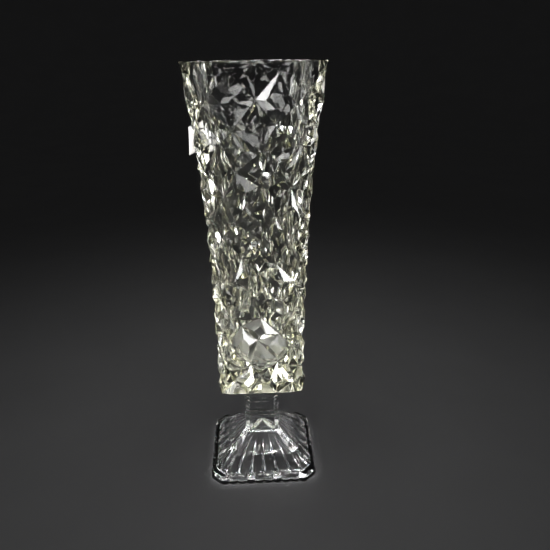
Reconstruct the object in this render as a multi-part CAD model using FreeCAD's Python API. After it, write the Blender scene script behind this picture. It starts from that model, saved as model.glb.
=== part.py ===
"""Cut crystal pedestal vase.

A tall square vessel of thick crystal stands on a separately pressed glass foot. The vessel's outside is
covered with a net of pointed diamonds, each one raised in the middle and falling to deep star points where
four diamonds meet. Its inside is plain. The foot is a square plate with cut corners and ribbed edges, which
sweeps up to a square neck, with a low band round the slope. Its underside is a hollow pyramid with fanned
flutes. A film of clear cement joins the neck to the vessel, and a small blank paper label is stuck to the
vessel's left side.

Frame: +Z up, origin on the table under the middle of the foot. -Y is the front. All sizes in millimetres.
"""

import FreeCAD, Part
import math
import os
import random

Vector = FreeCAD.Vector
UP = Vector(0, 0, 1)

# Overall
TOTAL_HEIGHT = 358.5
NECK_TOP = 88.3
CEMENT_THICKNESS = 0.3
BODY_BOTTOM = NECK_TOP + CEMENT_THICKNESS

# Foot plate
FOOT_HALF = 48.0
FOOT_CORNER_CUT = 8.2
PLATE_HEIGHT = 8.8
RIBS_PER_SIDE = 10
RIB_HEIGHT = 1.9

# The foot's outer profile from the plate up to the neck, as (half width, corner cut, height). A low raised
# band goes round the slope, and the last three points make the fillet into the neck.
LEDGE = (43.4, 8.0, 9.7)
BAND_BOTTOM = (32.0, 6.4, 19.4)
BAND_LOW_EDGE = (32.6, 6.4, 20.0)
BAND_HIGH_EDGE = (28.7, 6.0, 24.0)
BAND_TOP = (28.1, 6.0, 23.4)
FILLET_START = (17.3, 4.4, 34.2)
FILLET_MIDDLE = (16.0, 4.1, 36.2)
NECK = (15.4, 4.0, 38.5)

# Raised rings round the neck, one on top of the other
NECK_RINGS = 4
NECK_RING_BOTTOM = 48.5
NECK_RING_PITCH = 4.1
NECK_RING_HEIGHT = 0.5

# Hollow under the foot, as (half width, height), with round flutes that fan out from its top
HOLLOW_BASE = (37.0, 0.0)
HOLLOW_SHOULDER = (25.5, 20.0)
HOLLOW_TOP = (2.5, 41.0)
FLUTES_PER_SIDE = 6
FLUTE_DEPTH = 4.4
FLUTE_FACETS = 10

# Vessel, outside
BODY_HALF = 37.2
RIM_HALF = 51.1
FLARE_POWER = 2.6
BOTTOM_CORNER_CUT = 5.0
RIM_CORNER_CUT = 1.6

# Diamond net on the vessel. Its columns are counted round from the front left corner, its rows up from the
# bottom. Stars and diamonds take turns along both. Each side of the vessel has the same net.
COLUMNS_PER_FACE = 6
COLUMNS = 4 * COLUMNS_PER_FACE
ROW_HEIGHTS = (98, 115, 133, 149, 165, 178, 197, 213, 230, 246, 266, 284, 299, 316, 331, 352)
TOP_ROW = len(ROW_HEIGHTS) - 1
STAR_WANDER_ACROSS = 0.33
STAR_WANDER_UP = 6.0
STAR_DEPTH_SHARE = 0.44
STAR_DEPTH_SPREAD = 0.08
TOP_STAR_DEPTH_SHARE = 0.2
TABLE_REACH = 0.40
TABLE_REACH_SPREAD = 0.10
TABLE_SPREAD = 0.5
CORNER_TABLE_RISE = 0.5
EDGE_SCALLOP = 0.6
NET_SEED = 230747

# Vessel, inside
CAVITY_FLOOR = 110.0
CAVITY_FLOOR_RADIUS = 8.0
CAVITY_CORNER_RADIUS = 12.0
CAVITY_STRAIGHT = 12.0
WALL_AT_FLOOR = 11.2
WALL_AT_RIM = 5.4
CAVITY_SECTIONS = 6

# Label
LABEL_WIDTH = 14.0
LABEL_HEIGHT = 20.0
LABEL_THICKNESS = 0.2
LABEL_MIDDLE_HEIGHT = 305.0
LABEL_BACK_EDGE = -25.0
LABEL_INSET = 0.35
LABEL_LIFT_DEGREES = 8.0


def blend(low, high, share):
    return low + (high - low) * share


def body_share(z):
    """How far up the vessel a height is, from 0 at its underside to 1 at the rim."""
    return min(max((z - BODY_BOTTOM) / (TOTAL_HEIGHT - BODY_BOTTOM), 0.0), 1.0)


def body_half(z):
    """Half the vessel's width at a height: nearly straight low down, flaring to the rim."""
    return blend(BODY_HALF, RIM_HALF, body_share(z) ** FLARE_POWER)


def wall_thickness(z):
    """The vessel wall's thickness at a height, before the net is pressed into it."""
    return blend(WALL_AT_FLOOR, WALL_AT_RIM, (z - CAVITY_FLOOR) / (TOTAL_HEIGHT - CAVITY_FLOOR))


def turned(x, y, z, quarter_turns):
    """A point turned about +Z by quarter turns."""
    for _ in range(quarter_turns % 4):
        x, y = -y, x
    return Vector(x, y, z)


def solid_of(faces):
    """A solid closed by flat faces."""
    shell = Part.Shell(faces)
    shell.sewShape()
    solid = Part.Solid(shell)
    if solid.Volume < 0:
        solid.reverse()
    return solid


def flat_face(*corners):
    return Part.Face(Part.makePolygon([*corners, corners[0]]))


# ---------------------------------------------------------------- the vessel


def skin_point(column, z, relief):
    """A point on the vessel's outside at a height, that stands out by relief from the plain canted square."""
    face, place = divmod(column % COLUMNS, COLUMNS_PER_FACE)
    half = body_half(z)
    cut = blend(BOTTOM_CORNER_CUT, RIM_CORNER_CUT, body_share(z))
    along = 2 * half * place / COLUMNS_PER_FACE
    nearest = min(along, 2 * half - along)
    on_cut = min(nearest / cut, 1.0)
    x = half - cut * (1 + on_cut) / 2 if nearest < cut else half - nearest
    y = -half + cut * (1 - on_cut) / 2 - relief * math.hypot(on_cut, 1) / math.sqrt(2)
    x += relief * (1 - on_cut) / math.sqrt(2)
    if along < half:
        x = -x
    return turned(x, y, z, int(face))


def net_point(place, relief):
    """A point of the net from its (column, height)."""
    return skin_point(*place, relief)


def net_stars(chance):
    """{(column, row): (its (column, height), its point)} for each star, moved off the plain net a little.

    Stars on a corner stay on it. The columns go round one face, then the same again for the others.
    """
    stars = {}
    for row, height in enumerate(ROW_HEIGHTS):
        for column in range(COLUMNS_PER_FACE):
            if (column + row) % 2 == 0:
                continue
            across = chance.uniform(-1, 1) * STAR_WANDER_ACROSS
            z = height + chance.uniform(-1, 1) * STAR_WANDER_UP
            share = STAR_DEPTH_SHARE + chance.uniform(-1, 1) * STAR_DEPTH_SPREAD
            if row == TOP_ROW:
                z, share = height, TOP_STAR_DEPTH_SHARE
            if column == 0:
                across = 0.0
            for lap in range(-1, 5):
                place = (column + across + lap * COLUMNS_PER_FACE, z)
                point = net_point(place, -share * wall_thickness(z))
                stars[column + lap * COLUMNS_PER_FACE, row] = (place, point)
    return stars


def edge_star(column, z):
    """A point on the vessel's top or bottom edge, used like a star by the diamond that the edge cuts."""
    relief = -EDGE_SCALLOP * (column % 2) if z < TOTAL_HEIGHT else 0.0
    return (column, z), net_point((column, z), relief)


def diamond_faces(ends, column, chance):
    """The facets of one diamond: a raised table of two triangles, and eight that fall from it to the stars.

    ends holds the (place, point) of its left, right, low and high stars.
    """
    on_corner = column % COLUMNS_PER_FACE == 0
    places = [place for place, _ in ends.values()]
    middle = (column if on_corner else sum(p[0] for p in places) / 4, sum(p[1] for p in places) / 4)
    table = {}
    for side, (place, _) in ends.items():
        reach = TABLE_REACH + chance.uniform(-1, 1) * TABLE_REACH_SPREAD
        rise = chance.uniform(-1, 1) * TABLE_SPREAD + CORNER_TABLE_RISE * on_corner
        spot = tuple(blend(a, b, reach) for a, b in zip(middle, place))
        table[side] = net_point(spot, rise)
    left, right, low, high = (table[side] for side in ("left", "right", "low", "high"))
    if on_corner or chance.random() < 0.5:
        faces = [flat_face(low, right, high), flat_face(low, high, left)]
    else:
        faces = [flat_face(left, low, right), flat_face(left, right, high)]
    for end in ("low", "high"):
        for side in ("left", "right"):
            faces.append(flat_face(ends[end][1], table[end], table[side]))
            faces.append(flat_face(ends[end][1], table[side], ends[side][1]))
    return faces


def faceted_block():
    """The vessel's outside as a solid block of flat facets, with no cavity."""
    chance = random.Random(NET_SEED)
    stars = net_stars(chance)
    top = [edge_star(column, TOTAL_HEIGHT) for column in range(-1, COLUMNS + 1)]
    bottom = [edge_star(column, BODY_BOTTOM) for column in range(-1, COLUMNS + 1)]
    faces = [flat_face(*[point for _, point in edge[1:-1]]) for edge in (top, bottom)]
    for row in range(TOP_ROW + 1):
        for column in range(COLUMNS):
            if (column + row) % 2:
                continue
            ends = {"left": stars[column - 1, row], "right": stars[column + 1, row]}
            ends["low"] = stars[column, row - 1] if row > 0 else bottom[column + 1]
            ends["high"] = stars[column, row + 1] if row < TOP_ROW else top[column + 1]
            faces += diamond_faces(ends, column, chance)
            for edge in ([top] if row == TOP_ROW else []) + ([bottom] if row == 0 else []):
                middle = edge[column + 1][1]
                faces.append(flat_face(ends["left"][1], edge[column][1], middle))
                faces.append(flat_face(middle, edge[column + 2][1], ends["right"][1]))
    return solid_of(faces)


def rounded_square(half, radius, z):
    """A closed wire: a square with round corners, lying flat at a height."""
    straight = half - radius
    slant = radius / math.sqrt(2)
    edges = []
    for turn in range(4):
        start = turned(-straight, -half, z, turn)
        end = turned(straight, -half, z, turn)
        middle = turned(straight + slant, -straight - slant, z, turn)
        after = turned(half, -straight, z, turn)
        edges.append(Part.makeLine(start, end))
        edges.append(Part.Arc(end, middle, after).toShape())
    return Part.Wire(edges)


def cavity_half(z):
    """Half the cavity's width at a height."""
    return body_half(z) - wall_thickness(z)


def cavity():
    """The space inside: a pan with a rounded floor edge, and a long flaring part above it."""
    join = CAVITY_FLOOR + CAVITY_STRAIGHT
    floor = Part.Face(rounded_square(cavity_half(join), CAVITY_CORNER_RADIUS, CAVITY_FLOOR))
    pan = floor.extrude(UP * CAVITY_STRAIGHT)
    low_edges = [e for e in pan.Edges if e.BoundBox.ZMax < CAVITY_FLOOR + 1e-6]
    pan = pan.makeFillet(CAVITY_FLOOR_RADIUS, low_edges)
    heights = [
        join + (TOTAL_HEIGHT + 1.0 - join) * step / (CAVITY_SECTIONS - 1) for step in range(CAVITY_SECTIONS)
    ]
    wires = [rounded_square(cavity_half(z), CAVITY_CORNER_RADIUS, z) for z in heights]
    return pan.fuse(Part.makeLoft(wires, True, False))


def vase_body():
    return faceted_block().cut(cavity())


# ------------------------------------------------------------------ the foot


def ribbed_plate():
    """The foot's plate, with convex upright ribs along its four sides and plain cut corners."""
    valley = FOOT_HALF - RIB_HEIGHT
    reach = FOOT_HALF - FOOT_CORNER_CUT
    pitch = 2 * reach / RIBS_PER_SIDE
    edges = []
    for turn in range(4):
        for rib in range(RIBS_PER_SIDE):
            x = -reach + rib * pitch
            start = turned(x, -valley, 0, turn)
            crest = turned(x + pitch / 2, -FOOT_HALF, 0, turn)
            end = turned(x + pitch, -valley, 0, turn)
            edges.append(Part.Arc(start, crest, end).toShape())
        edges.append(Part.makeLine(end, turned(valley, -reach, 0, turn)))
    return Part.Face(Part.Wire(edges)).extrude(UP * PLATE_HEIGHT)


def across_cut(half, cut):
    """Distance from the middle of a square with cut corners to the middle of one cut."""
    return (2 * half - cut) / math.sqrt(2)


def profile_prism(stations, span):
    """A long prism along Y, whose end is the foot's profile: straight runs, and one arc into the neck.

    stations are the profile's (half width, height) from the ledge to the neck. The last three make the arc.
    """
    edges = []
    for side in (1, -1):
        points = [Vector(side * half, 0, z) for half, z in stations]
        straight = [Vector(points[0].x, 0, 0), *points[:-2]]
        edges += [Part.makeLine(*pair) for pair in zip(straight, straight[1:])]
        edges.append(Part.Arc(*points[-3:]).toShape())
        edges.append(Part.makeLine(points[-1], Vector(points[-1].x, 0, NECK_TOP)))
    for half, z in ((stations[0][0], 0), (stations[-1][0], NECK_TOP)):
        edges.append(Part.makeLine(Vector(-half, 0, z), Vector(half, 0, z)))
    outline = Part.Face(Part.Wire(Part.__sortEdges__(edges)))
    outline.translate(Vector(0, -span, 0))
    return outline.extrude(Vector(0, 2 * span, 0))


def foot_sweep():
    """The foot above its plate: one profile taken across and along, with its corners cut off by another."""
    profile = (
        LEDGE, BAND_BOTTOM, BAND_LOW_EDGE, BAND_HIGH_EDGE, BAND_TOP, FILLET_START, FILLET_MIDDLE, NECK
    )
    span = 2 * FOOT_HALF
    across = profile_prism([(half, z) for half, cut, z in profile], span)
    corner = profile_prism([(across_cut(half, cut), z) for half, cut, z in profile], span)
    shape = across
    for prism, degrees in ((across, 90), (corner, 45), (corner, 135)):
        other = prism.copy()
        other.rotate(Vector(0, 0, 0), UP, degrees)
        shape = shape.common(other)
    return shape


def cut_square(half, cut, z):
    """The closed outline of a square with cut corners, lying flat at a height."""
    reach = half - cut
    corners = [turned(x, -half, z, turn) for turn in range(4) for x in (-reach, reach)]
    return Part.makePolygon([*corners, corners[0]])


def neck_rings():
    """Low pointed rings round the neck, one on top of the other."""
    half, cut, _ = NECK
    rings = []
    for ring in range(NECK_RINGS):
        z = NECK_RING_BOTTOM + ring * NECK_RING_PITCH
        crest = cut_square(half + NECK_RING_HEIGHT, cut, z + NECK_RING_PITCH / 2)
        for base in (z, z + NECK_RING_PITCH):
            rings.append(Part.makeLoft([cut_square(half, cut, base), crest], True, True))
    return rings


def flute_arc():
    """One flute across its mouth, as (share of its width, share of its depth) points on an arc."""
    flute_half = HOLLOW_BASE[0] / FLUTES_PER_SIDE
    end_angle = 2 * math.atan(FLUTE_DEPTH / flute_half)
    radius = flute_half / math.sin(end_angle)
    points = []
    for facet in range(FLUTE_FACETS):
        angle = end_angle * (2 * facet / FLUTE_FACETS - 1)
        rise = radius * (math.cos(angle) - math.cos(end_angle))
        points.append((0.5 + radius * math.sin(angle) / (2 * flute_half), rise / FLUTE_DEPTH))
    return points


def fluted_ring(half, z):
    """The corners of a square ring whose sides are rows of outward flutes, one side after another."""
    width = 2 * half / FLUTES_PER_SIDE
    depth = FLUTE_DEPTH * half / HOLLOW_BASE[0]
    ring = []
    for turn in range(4):
        for flute in range(FLUTES_PER_SIDE):
            for across, rise in flute_arc():
                ring.append(turned(-half + width * (flute + across), -half - depth * rise, z, turn))
    return ring


def fluted_hollow():
    """The hollow under the foot: round flutes run up its four sides and meet in a fan under the neck."""
    base, shoulder = fluted_ring(*HOLLOW_BASE), fluted_ring(*HOLLOW_SHOULDER)
    half, z = HOLLOW_TOP
    tops = [turned(0, -half, z, turn) for turn in range(4)]
    steps = FLUTES_PER_SIDE * FLUTE_FACETS
    faces = [flat_face(*base), flat_face(*tops)]
    for place in range(4 * steps):
        following = (place + 1) % (4 * steps)
        faces.append(flat_face(base[place], base[following], shoulder[following], shoulder[place]))
        faces.append(flat_face(tops[place // steps], shoulder[place], shoulder[following]))
    for turn in range(4):
        corner = shoulder[(turn + 1) % 4 * steps]
        faces.append(flat_face(tops[turn], corner, tops[(turn + 1) % 4]))
    return solid_of(faces)


def pedestal_foot():
    shape = ribbed_plate().fuse([foot_sweep(), *neck_rings()]).removeSplitter()
    return shape.cut(fluted_hollow())


# ------------------------------------------------------- cement and the label


def cement_film():
    """The clear cement between the neck's top and the vessel's underside."""
    half, cut, _ = NECK
    return Part.Face(cut_square(half, cut, NECK_TOP)).extrude(UP * CEMENT_THICKNESS)


def paper_label():
    """A blank paper label on the vessel's left face, stuck along its back edge, its front edge lifting off.

    The back edge lies inside the plain canted square by LABEL_INSET, between the raised tables.
    """
    top = LABEL_MIDDLE_HEIGHT + LABEL_HEIGHT / 2
    back = Vector(-body_half(top) + LABEL_INSET, LABEL_BACK_EDGE, top)
    corner = back - Vector(LABEL_THICKNESS, LABEL_WIDTH, LABEL_HEIGHT)
    sheet = Part.makeBox(LABEL_THICKNESS, LABEL_WIDTH, LABEL_HEIGHT, corner)
    sheet.rotate(back, UP, -LABEL_LIFT_DEGREES)
    return sheet


PIECES = {
    "vase_body": vase_body,
    "pedestal_foot": pedestal_foot,
    "cement_film": cement_film,
    "paper_label": paper_label,
}


def main():
    os.makedirs("parts", exist_ok=True)
    for name, make in PIECES.items():
        shape = make()
        shape.exportStep(f"parts/{name}.step")
        box = shape.BoundBox
        print(
            f"{name}: {len(shape.Solids)} solid, {len(shape.Faces)} faces, valid {shape.isValid()}, "
            f"{shape.Volume / 1000:.1f} ml, z {box.ZMin:.2f} to {box.ZMax:.2f}"
        )


main()
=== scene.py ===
"""The looks of the cut crystal pedestal vase: its vessel, its foot, the cement between, and its label."""

import math

import bmesh
import bpy
from mathutils import Matrix, Vector


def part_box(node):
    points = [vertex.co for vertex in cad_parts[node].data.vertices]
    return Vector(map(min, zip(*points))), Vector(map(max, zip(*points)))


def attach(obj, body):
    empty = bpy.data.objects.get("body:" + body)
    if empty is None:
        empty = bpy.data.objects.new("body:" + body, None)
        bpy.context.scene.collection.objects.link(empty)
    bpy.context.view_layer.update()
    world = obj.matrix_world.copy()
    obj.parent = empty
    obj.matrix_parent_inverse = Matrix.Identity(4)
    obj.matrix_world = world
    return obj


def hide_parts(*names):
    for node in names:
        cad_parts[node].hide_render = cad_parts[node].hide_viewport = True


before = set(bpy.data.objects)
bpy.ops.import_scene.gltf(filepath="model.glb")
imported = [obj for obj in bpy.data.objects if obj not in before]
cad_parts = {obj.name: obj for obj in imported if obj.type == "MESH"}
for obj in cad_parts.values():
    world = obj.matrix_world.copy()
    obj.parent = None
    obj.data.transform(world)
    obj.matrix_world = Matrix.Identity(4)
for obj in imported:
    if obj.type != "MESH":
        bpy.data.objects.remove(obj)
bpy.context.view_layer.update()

MM = 0.001

# Camera, as solved for the vase standing square to the axes
CAMERA_PLACE = Vector((-4.0, -451.5, 361.7)) * MM
CAMERA_PITCH = math.radians(21.445)
CAMERA_HEADING = math.radians(2.302)
CAMERA_ROLL = math.radians(0.756)
CAMERA_LENS = 36.571

# The vessel's edges, softened as polishing leaves them: every edge that turns by more than an angle
SHARP_FACET = math.radians(4.0)
FACET_EDGE_WIDTH = 0.2 * MM
FACET_EDGE_SEGMENTS = 2

# The foot's edges, by how far each kind is cut back. Those that turn less sharply are shaded as one round.
SHARP_FOOT = math.radians(22.0)
FLAT_EDGE = math.radians(2.0)
MERGED_EDGE = math.radians(0.05)
PROFILE_EDGE = 0.2 * MM
PLATE_EDGE = 0.4 * MM
FOOT_EDGE_SEGMENTS = 4

# The foot plate, and how its ribbed outline is rounded over at the top
PLATE_TOP = 8.8 * MM
PLATE_INNER_REACH = 44.0 * MM
PLATE_ROUND_START = 6.2 * MM
PLATE_ROUND_DEPTH = 1.9 * MM
PLATE_ROUND_STEPS = 9
LEVEL = 0.001 * MM

# Glasses, as (index of refraction, tint, tint density, ripple height)
VESSEL_GLASS = (1.545, (0.985, 0.98, 0.80), 12.0, 0.03 * MM)
FOOT_GLASS = (1.52, (0.93, 0.97, 1.0), 6.0, 0.12 * MM)
CEMENT_GLASS = (1.5, (0.98, 0.97, 0.9), 10.0, 0.05 * MM)

# Cement, let into both glasses by a bite, and label
CEMENT_BITE = 0.02 * MM
LABEL_STEPS = 12
LABEL_CURL = 0.7 * MM
LABEL_THICKNESS = 0.18 * MM

# Limescale haze low down on the inside: it fades out upwards, and stays off the outside
HAZE_TOP = 142 * MM
HAZE_FULL = 122 * MM
HAZE_BOTTOM = 100 * MM
HAZE_REACH = 29.3 * MM
HAZE_ROUGHNESS = 0.45

# The foot's standing face, scuffed by use
SCUFF_TOP = 0.9 * MM
SCUFF_ROUGHNESS = 0.5

# Softboxes, each for some pieces alone: pieces, place, width and height, watts
MIDDLE = Vector((0, 0, 0.2))
SOFTBOXES = {
    "left": ("vessel label", (-1.04, 0.0, 0.8), (0.35, 0.35), 6.0),
    "right": ("vessel label", (1.04, 0.0, 0.8), (0.35, 0.35), 5.0),
    "foot_left": ("foot", (-1.04, 0.0, 0.8), (0.18, 0.18), 3.0),
    "foot_right": ("foot", (1.04, 0.0, 0.8), (0.18, 0.18), 2.6),
    "back_left": ("vessel foot", (-0.85, 0.85, 0.8), (0.35, 0.35), 3.0),
    "back_right": ("vessel foot", (0.85, 0.85, 0.8), (0.35, 0.35), 3.0),
    "back": ("vessel", (0.0, 1.04, 0.8), (0.35, 0.35), 2.0),
    "high_back": ("vessel", (0.0, 0.6, 1.24), (0.35, 0.35), 12.0),
    "front_left": ("vessel", (-0.58, -1.16, 0.39), (0.2, 0.2), 2.5),
    "front_right": ("vessel", (1.0, -0.63, 0.43), (0.2, 0.2), 2.5),
    "high_front_left": ("vessel", (-0.32, -0.99, 0.8), (0.45, 0.45), 4.0),
    "high_front_right": ("vessel", (0.32, -0.99, 0.8), (0.45, 0.45), 3.0),
    "low_left": ("foot", (-1.1, -0.3, 0.25), (0.35, 0.35), 7.0),
    "low_right": ("foot", (1.1, 0.3, 0.25), (0.35, 0.35), 7.0),
    "top": ("foot", (0.0, 0.2, 1.2), (1.0, 1.0), 70.0),
    "rib_glint": ("foot", (0.0, -0.85, 0.85), (1.0, 0.12), 50.0),
    "into_cavity": ("vessel", (0.0, 0.15, 1.4), (0.4, 0.4), 20.0),
    "label_fill": ("label", (0.5, -0.9, 0.5), (0.3, 0.3), 20.0),
}

# Floor: a wide disc that curves up into a wall all round, and a pool of light in its middle
FLOOR_FLAT = 2.0
FLOOR_CURVE = 2.0
WALL_TOP = 3.5
FLOOR_STEPS = 96
POOL_WATTS = 0.13
POOL_PLACE = (0.0, -0.1, 1.1)
POOL_SIZE = (0.5, 0.5)
POOL_SPREAD = math.radians(70)
ROOM_GLOW = 0.015


# ------------------------------------------------------------------ materials


class Nodes:
    """A new material's node tree, with short calls to add and link nodes."""

    def __init__(self, name):
        self.material = bpy.data.materials.new(name)
        self.material.use_nodes = True
        self.tree = self.material.node_tree
        self.shader = self.tree.nodes["Principled BSDF"]
        self.output = self.tree.nodes["Material Output"]
        self.place = self.add("ShaderNodeTexCoord").outputs["Object"]

    def add(self, kind, **settings):
        node = self.tree.nodes.new(kind)
        for key, value in settings.items():
            setattr(node, key, value)
        return node

    def link(self, source, target):
        self.tree.links.new(source, target)

    def noise(self, scale, detail=2.0, roughness=0.5, distortion=0.0):
        node = self.add("ShaderNodeTexNoise")
        node.inputs["Scale"].default_value = scale
        node.inputs["Detail"].default_value = detail
        node.inputs["Roughness"].default_value = roughness
        node.inputs["Distortion"].default_value = distortion
        self.link(self.place, node.inputs["Vector"])
        return node.outputs["Fac"]

    def ramp(self, source, *stops):
        """A colour ramp from (position, grey or rgb) stops."""
        node = self.add("ShaderNodeValToRGB")
        elements = node.color_ramp.elements
        while len(elements) < len(stops):
            elements.new(0.5)
        for element, (position, value) in zip(elements, stops):
            element.position = position
            rgb = (value,) * 3 if isinstance(value, (int, float)) else value
            element.color = (*rgb, 1.0)
        self.link(source, node.inputs["Fac"])
        return node.outputs["Color"]

    def maths(self, operation, *values):
        """A Math node's result, from sockets and numbers."""
        node = self.add("ShaderNodeMath", operation=operation)
        for socket, value in zip(node.inputs, values):
            if isinstance(value, (int, float)):
                socket.default_value = value
            else:
                self.link(value, socket)
        return node.outputs[0]

    def bump(self, source, distance, strength=1.0, below=None):
        node = self.add("ShaderNodeBump")
        node.inputs["Distance"].default_value = distance
        node.inputs["Strength"].default_value = strength
        self.link(source, node.inputs["Height"])
        if below is not None:
            self.link(below, node.inputs["Normal"])
        return node.outputs["Normal"]


def limescale(nodes):
    """How hazed the glass is: full low down in the cavity, fading upwards in patches, none elsewhere."""
    axes = nodes.add("ShaderNodeSeparateXYZ")
    nodes.link(nodes.place, axes.inputs[0])
    reach = nodes.maths("MAXIMUM", *(nodes.maths("ABSOLUTE", axes.outputs[axis]) for axis in "XY"))
    inside = nodes.maths("LESS_THAN", reach, HAZE_REACH)
    above = nodes.maths("GREATER_THAN", axes.outputs["Z"], HAZE_BOTTOM)
    patches = nodes.maths("MULTIPLY", nodes.noise(60.0, 3.0), HAZE_TOP - HAZE_FULL)
    fade = nodes.add("ShaderNodeMapRange")
    nodes.link(nodes.maths("ADD", axes.outputs["Z"], patches), fade.inputs["Value"])
    fade.inputs["From Min"].default_value = HAZE_TOP
    fade.inputs["From Max"].default_value = HAZE_FULL
    return nodes.maths("MULTIPLY", nodes.maths("MULTIPLY", inside, above), fade.outputs["Result"])


def scuffs(nodes):
    """How scuffed the glass is: the face that it stands on, and none above."""
    axes = nodes.add("ShaderNodeSeparateXYZ")
    nodes.link(nodes.place, axes.inputs[0])
    low = nodes.maths("LESS_THAN", axes.outputs["Z"], SCUFF_TOP)
    return nodes.maths("MULTIPLY", low, nodes.ramp(nodes.noise(700.0, 4.0), (0.3, 0.6), (0.6, 1.0)))


def glass(name, index, tint, tint_density, ripple, marks=None, mark_roughness=0.0):
    """Clear pressed glass with a tint that grows with its thickness, soft ripples and a few dull smudges.

    marks gives a factor from the nodes, of where the glass is duller, up to mark_roughness.
    """
    nodes = Nodes(name)
    shader = nodes.shader
    shader.inputs["Base Color"].default_value = (1.0, 1.0, 1.0, 1.0)
    shader.inputs["Transmission Weight"].default_value = 1.0
    shader.inputs["IOR"].default_value = index
    smudges = nodes.ramp(nodes.noise(38.0, 5.0, 0.62), (0.45, 0.0), (0.8, 0.06))
    if marks:
        smudges = nodes.maths("MAXIMUM", smudges, nodes.maths("MULTIPLY", marks(nodes), mark_roughness))
    nodes.link(smudges, shader.inputs["Roughness"])
    waves = nodes.bump(nodes.noise(110.0, 1.0), ripple)
    chill = nodes.bump(nodes.noise(420.0, 2.0, 0.5, 1.0), ripple / 5, below=waves)
    nodes.link(chill, shader.inputs["Normal"])
    volume = nodes.add("ShaderNodeVolumeAbsorption")
    volume.inputs["Color"].default_value = (*tint, 1.0)
    volume.inputs["Density"].default_value = tint_density
    nodes.link(volume.outputs["Volume"], nodes.output.inputs["Volume"])
    return nodes.material


def paper():
    """Matte label paper: uneven fibres, a little grime and a yellowed tone."""
    nodes = Nodes("label_paper_fibres")
    fibres = nodes.noise(2600.0, 4.0, 0.7, 1.5)
    grime = nodes.noise(90.0, 4.0, 0.6)
    colour = nodes.add("ShaderNodeMix", data_type="RGBA", blend_type="MULTIPLY")
    colour.inputs["Factor"].default_value = 1.0
    nodes.link(nodes.ramp(fibres, (0.3, (0.86, 0.85, 0.82)), (0.7, (0.93, 0.92, 0.9))), colour.inputs[6])
    nodes.link(nodes.ramp(grime, (0.35, (0.9, 0.88, 0.84)), (0.6, (1.0, 1.0, 1.0))), colour.inputs[7])
    nodes.link(colour.outputs[2], nodes.shader.inputs["Base Color"])
    nodes.shader.inputs["Roughness"].default_value = 0.8
    nodes.link(nodes.bump(fibres, 0.03 * MM), nodes.shader.inputs["Normal"])
    return nodes.material


def floor_finish():
    nodes = Nodes("pale_floor")
    tone = nodes.ramp(nodes.noise(9.0, 3.0), (0.3, (0.60, 0.60, 0.61)), (0.7, (0.64, 0.64, 0.65)))
    nodes.link(tone, nodes.shader.inputs["Base Color"])
    nodes.shader.inputs["Roughness"].default_value = 0.7
    return nodes.material


# --------------------------------------------------------------------- pieces


def welded(node):
    """A node's mesh as one joined bmesh."""
    bm = bmesh.new()
    bm.from_mesh(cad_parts[node].data)
    bmesh.ops.remove_doubles(bm, verts=bm.verts, dist=LEVEL)
    return bm


def piece(name, bm, material, node):
    """A finished piece from a bmesh, that rides on the vase and stands for a CAD node."""
    mesh = bpy.data.meshes.new(name)
    bm.to_mesh(mesh)
    bm.free()
    mesh.materials.append(material)
    made = bpy.data.objects.new(name, mesh)
    bpy.context.scene.collection.objects.link(made)
    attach(made, "root")
    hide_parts(node)
    return made


def sharp_edges(bm, sharp):
    """The edges where two faces meet at more than an angle."""
    return [edge for edge in bm.edges if edge.calc_face_angle(0.0) > sharp]


def crystal_vessel(material):
    bm = welded("vase_body")
    rounded = bmesh.ops.bevel(
        bm, geom=sharp_edges(bm, SHARP_FACET), offset=FACET_EDGE_WIDTH, offset_type="WIDTH",
        segments=FACET_EDGE_SEGMENTS, profile=0.5, affect="EDGES", clamp_overlap=False,
        miter_outer="SHARP", miter_inner="SHARP",
    )
    for face in rounded["faces"]:
        face.smooth = True
    return piece("crystal_vessel", bm, material, "vase_body")


def smooth_rounds(bm, sharp):
    """Shades the facets of round ribs and flutes as one curve, and keeps every other edge crisp."""
    for face in bm.faces:
        face.smooth = any(FLAT_EDGE < e.calc_face_angle(0.0) < sharp for e in face.edges)
    for edge in bm.edges:
        edge.smooth = edge.calc_face_angle(0.0) < sharp


def on_rim(vert):
    """True for a corner on the foot plate's ribbed outline."""
    return vert.co.z < PLATE_TOP + LEVEL and max(abs(vert.co.x), abs(vert.co.y)) > PLATE_INNER_REACH


def round_ribs(bm):
    """Rounds the plate's top edge over: its ribbed outline draws in, faster and faster, towards the top."""
    for step in range(PLATE_ROUND_STEPS):
        turn = math.pi / 2 * step / PLATE_ROUND_STEPS
        level = Vector((0, 0, PLATE_ROUND_START + (PLATE_TOP - PLATE_ROUND_START) * math.sin(turn)))
        everything = bm.verts[:] + bm.edges[:] + bm.faces[:]
        bmesh.ops.bisect_plane(bm, geom=everything, dist=LEVEL, plane_co=level, plane_no=(0, 0, 1))
    for vert in bm.verts:
        if on_rim(vert) and vert.co.z > PLATE_ROUND_START:
            rise = min((vert.co.z - PLATE_ROUND_START) / (PLATE_TOP - PLATE_ROUND_START), 1.0)
            axis = 0 if abs(vert.co.x) > abs(vert.co.y) else 1
            vert.co[axis] -= math.copysign(PLATE_ROUND_DEPTH * (1 - math.sqrt(1 - rise ** 2)), vert.co[axis])
    bm.normal_update()


def foot_edge(edge):
    """How far an edge of the foot is rounded back: more on the plate's rim than elsewhere."""
    return PLATE_EDGE if all(on_rim(vert) for vert in edge.verts) else PROFILE_EDGE


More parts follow.
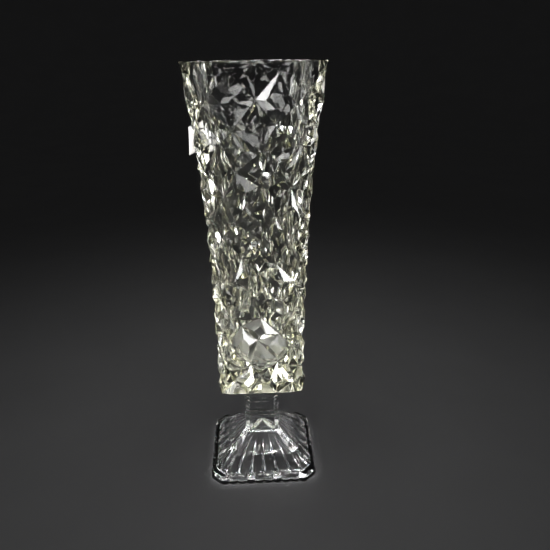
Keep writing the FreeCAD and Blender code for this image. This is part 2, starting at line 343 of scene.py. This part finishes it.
def glass_foot(material):
    bm = welded("pedestal_foot")
    bmesh.ops.dissolve_limit(bm, angle_limit=MERGED_EDGE, verts=bm.verts, edges=bm.edges)
    round_ribs(bm)
    smooth_rounds(bm, SHARP_FOOT)
    share = bm.edges.layers.float.new("bevel_weight_edge")
    for edge in sharp_edges(bm, SHARP_FOOT):
        edge[share] = foot_edge(edge) / PLATE_EDGE
    foot = piece("glass_foot", bm, material, "pedestal_foot")
    soft = foot.modifiers.new("soft_edges", "BEVEL")
    soft.limit_method = "WEIGHT"
    soft.width = PLATE_EDGE
    soft.segments = FOOT_EDGE_SEGMENTS
    soft.use_clamp_overlap = False
    return foot


def cement_film(material):
    """The cement, let a hair into both glasses so that no two surfaces lie in one plane."""
    bm = welded("cement_film")
    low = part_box("cement_film")[0][2]
    for vert in bm.verts:
        vert.co.z += CEMENT_BITE if vert.co.z > low + CEMENT_BITE else -CEMENT_BITE
    return piece("clear_cement", bm, material, "cement_film")


def paper_label(material):
    """The label as a thin sheet that curls off the glass towards its free lower front corner."""
    bm = bmesh.new()
    low, high = (Vector(corner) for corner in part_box("paper_label"))
    back = Vector((high.x, high.y, low.z))
    width, height = high.y - low.y, high.z - low.z
    rows = []
    for up in range(LABEL_STEPS + 1):
        row = []
        for along in range(LABEL_STEPS + 1):
            u, v = along / LABEL_STEPS, up / LABEL_STEPS
            x = -(high.x - low.x) * u ** 1.5 - LABEL_CURL * u * (1 - v) ** 2
            row.append(bm.verts.new(back + Vector((x, -width * u, height * v))))
        rows.append(row)
    for first, second in zip(rows, rows[1:]):
        for a, b, c, d in zip(first, first[1:], second[1:], second):
            bm.faces.new((a, b, c, d))
    for face in bm.faces:
        face.smooth = True
    label = piece("price_label", bm, material, "paper_label")
    outward = label.modifiers.new("paper_thickness", "SOLIDIFY")
    outward.thickness = LABEL_THICKNESS
    outward.offset = 1.0
    return label


# ---------------------------------------------------------------------- stage


def area_light(name, place, aim, size, watts):
    light = bpy.data.lights.new(name, "AREA")
    light.shape = "RECTANGLE"
    light.size, light.size_y = size
    light.energy = watts
    made = bpy.data.objects.new(name, light)
    made.location = place
    made.rotation_euler = (Vector(aim) - Vector(place)).to_track_quat("-Z", "Y").to_euler()
    made.visible_camera = False
    bpy.context.scene.collection.objects.link(made)
    return made


def only_on(light, *pieces):
    """Lets a light fall on these pieces alone."""
    group = bpy.data.collections.new(light.name + "_falls_on")
    for one in pieces:
        group.objects.link(one)
    light.light_linking.receiver_collection = group


def floor():
    """The floor and wall as one surface: a straight run, a quarter circle and an upright, spun about Z."""
    bm = bmesh.new()
    profile = [(0.0, 0.0), (FLOOR_FLAT, 0.0)]
    for step in range(1, FLOOR_STEPS // 4 + 1):
        turn = math.pi / 2 * step / (FLOOR_STEPS // 4)
        profile.append((FLOOR_FLAT + FLOOR_CURVE * math.sin(turn), FLOOR_CURVE * (1 - math.cos(turn))))
    profile.append((FLOOR_FLAT + FLOOR_CURVE, WALL_TOP))
    line = [bm.verts.new((x, 0, z)) for x, z in profile]
    edges = [bm.edges.new(pair) for pair in zip(line, line[1:])]
    bmesh.ops.spin(
        bm, geom=line + edges, cent=(0, 0, 0), axis=(0, 0, 1),
        angle=math.tau, steps=FLOOR_STEPS, use_merge=True,
    )
    bmesh.ops.remove_doubles(bm, verts=bm.verts, dist=0.01 * MM)
    bmesh.ops.recalc_face_normals(bm, faces=bm.faces)
    for face in bm.faces:
        face.smooth = True
    mesh = bpy.data.meshes.new("floor")
    bm.to_mesh(mesh)
    bm.free()
    mesh.materials.append(floor_finish())
    made = bpy.data.objects.new("floor", mesh)
    bpy.context.scene.collection.objects.link(made)
    return made


def stage(pieces):
    """A plain pale floor in a soft pool of light, softboxes round the glass, and a dim room.

    pieces holds the vase's pieces by the names that SOFTBOXES uses.
    """
    ground = floor()
    for name, (falls_on, place, size, watts) in SOFTBOXES.items():
        only_on(area_light(name, place, MIDDLE, size, watts), *(pieces[word] for word in falls_on.split()))
    label_light = bpy.data.objects["label_fill"].light_linking
    label_light.blocker_collection = label_light.receiver_collection
    pool = area_light("floor_pool", POOL_PLACE, (0, 0, 0), POOL_SIZE, POOL_WATTS)
    pool.data.spread = POOL_SPREAD
    only_on(pool, ground)

    world = bpy.data.worlds.new("dim_room")
    bpy.context.scene.world = world
    world.use_nodes = True
    world.node_tree.nodes["Background"].inputs["Color"].default_value = (ROOM_GLOW,) * 3 + (1,)


def camera():
    forward = Vector((math.sin(CAMERA_HEADING), math.cos(CAMERA_HEADING), 0)) * math.cos(CAMERA_PITCH)
    forward.z = -math.sin(CAMERA_PITCH)
    right = Vector((math.cos(CAMERA_HEADING), -math.sin(CAMERA_HEADING), 0))
    down = forward.cross(right)
    rolled_right = right * math.cos(CAMERA_ROLL) + down * math.sin(CAMERA_ROLL)
    rolled_down = down * math.cos(CAMERA_ROLL) - right * math.sin(CAMERA_ROLL)
    made = bpy.data.objects.new("camera", bpy.data.cameras.new("camera"))
    made.data.lens = CAMERA_LENS
    made.data.clip_start = 0.01
    turn = Matrix((rolled_right, -rolled_down, -forward)).transposed()
    made.matrix_world = Matrix.Translation(CAMERA_PLACE) @ turn.to_4x4()
    bpy.context.scene.collection.objects.link(made)
    bpy.context.scene.camera = made


def light_paths():
    """Enough bounces for light that crosses both walls and turns back inside the facets."""
    cycles = bpy.context.scene.cycles
    cycles.max_bounces = 32
    cycles.transmission_bounces = 32
    cycles.glossy_bounces = 24
    cycles.caustics_refractive = False
    bpy.context.scene.view_settings.view_transform = "Standard"


def main():
    vessel = crystal_vessel(glass("straw_crystal", *VESSEL_GLASS, limescale, HAZE_ROUGHNESS))
    foot = glass_foot(glass("cool_glass", *FOOT_GLASS, scuffs, SCUFF_ROUGHNESS))
    film = cement_film(glass("cement", *CEMENT_GLASS))
    label = paper_label(paper())
    stage({"vessel": vessel, "foot": foot, "film": film, "label": label})
    camera()
    light_paths()


main()
